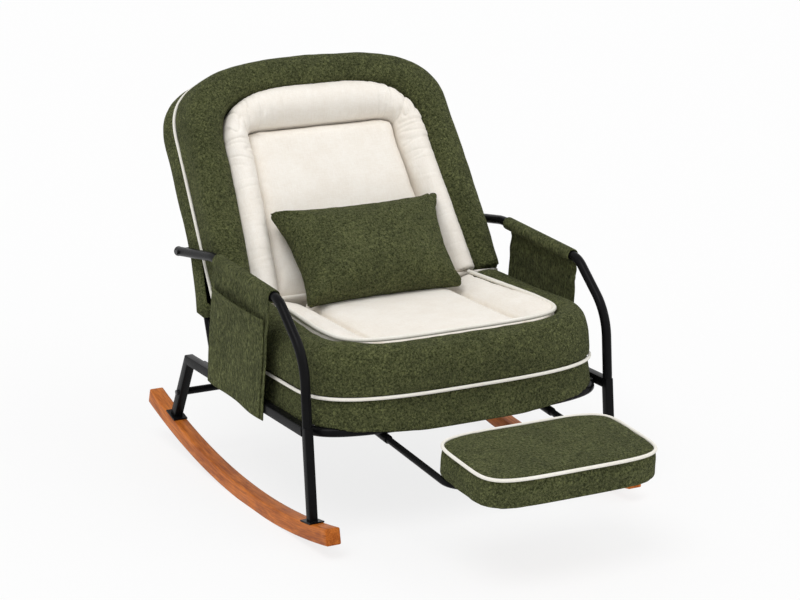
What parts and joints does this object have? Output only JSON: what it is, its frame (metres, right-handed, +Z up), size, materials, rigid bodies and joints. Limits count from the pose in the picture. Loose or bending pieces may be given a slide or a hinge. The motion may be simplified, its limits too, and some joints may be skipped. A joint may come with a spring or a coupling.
{
  "type": "padded rocking chair with pull-out footrest",
  "caption": "Rocking chair: padded seat and leaning back on a steel tube frame with curved wooden runners, hanging arm covers with pockets, loose pillow and sliding footrest.",
  "frame": {"origin": "on the floor, under the middle of the chair's box with the footrest pulled out", "axes": "+X to the chair's right side as seen from the front, -Y to the front, +Z up"},
  "size_m": [0.7384, 1.2696, 0.8404],
  "materials": {
    "frame_steel": "satin black powder coat",
    "runner_wood": "oiled hardwood, orange brown",
    "green_chenille": "short-pile green chenille",
    "cream_cloth": "soft cream cloth",
    "piping_cloth": "off-white corded piping",
    "webbing": "woven elastic webbing and dark lining",
    "black_plastic": "matt black",
    "plywood": "plain plywood",
    "zinc_bolt": "dark zinc"
  },
  "bodies": {
    "chair": {"arm_bolt_left": "zinc_bolt", "arm_bolt_right": "zinc_bolt", "arm_cap_left": "black_plastic", "arm_cap_right": "black_plastic", "arm_cover_left": "green_chenille", "arm_cover_right": "green_chenille", "arm_pocket_left": "green_chenille", "arm_pocket_right": "green_chenille", "arm_tube_left": "frame_steel", "arm_tube_right": "frame_steel", "back_arch_tube": "frame_steel", "back_base_pad": "webbing", "back_border": "green_chenille", "back_centre_panel": "cream_cloth", "back_cover": "green_chenille", "back_cream_border": "cream_cloth", "back_piping": "piping_cloth", "back_post_left": "frame_steel", "back_post_right": "frame_steel", "back_strap": "webbing", "crossbar_bolt_left": "zinc_bolt", "crossbar_bolt_right": "zinc_bolt", "foot_plate_front_left": "frame_steel", "foot_plate_front_right": "frame_steel", "foot_plate_rear_left": "frame_steel", "foot_plate_rear_right": "frame_steel", "footrest_guide_left": "frame_steel", "footrest_guide_right": "frame_steel", "front_leg_left": "frame_steel", "front_leg_right": "frame_steel", "guide_bar": "frame_steel", "rear_crossbar": "frame_steel", "rear_leg_left": "frame_steel", "rear_leg_right": "frame_steel", "rocker_bolt_front_left": "zinc_bolt", "rocker_bolt_front_right": "zinc_bolt", "rocker_bolt_rear_left": "zinc_bolt", "rocker_bolt_rear_right": "zinc_bolt", "rocker_left": "runner_wood", "rocker_right": "runner_wood", "seat_base_cushion": "green_chenille", "seat_bolster_left": "cream_cloth", "seat_bolster_right": "cream_cloth", "seat_border": "green_chenille", "seat_centre_pad": "cream_cloth", "seat_hoop": "frame_steel", "seat_piping": "piping_cloth", "seat_rear_bar": "frame_steel", "seat_strap_1": "webbing", "seat_strap_2": "webbing", "seat_strap_3": "webbing", "side_rail_left": "frame_steel", "side_rail_right": "frame_steel"},
    "footrest_slide_frame": {"footrest_tube": "frame_steel"},
    "footrest": {"footrest_pad": "green_chenille", "footrest_board": "plywood", "footrest_clip_left": "black_plastic", "footrest_clip_right": "black_plastic", "footrest_piping": "piping_cloth"},
    "pillow": {"lumbar_pillow": "green_chenille"}
  },
  "joints": [
    {"name": "footrest_slide", "type": "slide", "parent": "chair", "child": "footrest_slide_frame", "axis": [0, 0.9962, 0.0872], "range_m": [0, 0.14]},
    {"name": "footrest_turn", "type": "hinge", "parent": "footrest_slide_frame", "child": "footrest", "pos_m": [0, -0.47768, 0.17873], "axis": [1, 0, 0], "range_deg": [0, 180]},
    {"name": "pillow_lift", "type": "slide", "parent": "chair", "child": "pillow", "axis": [0, -0.7071, 0.7071], "range_m": [0, 0.3]}
  ]
}
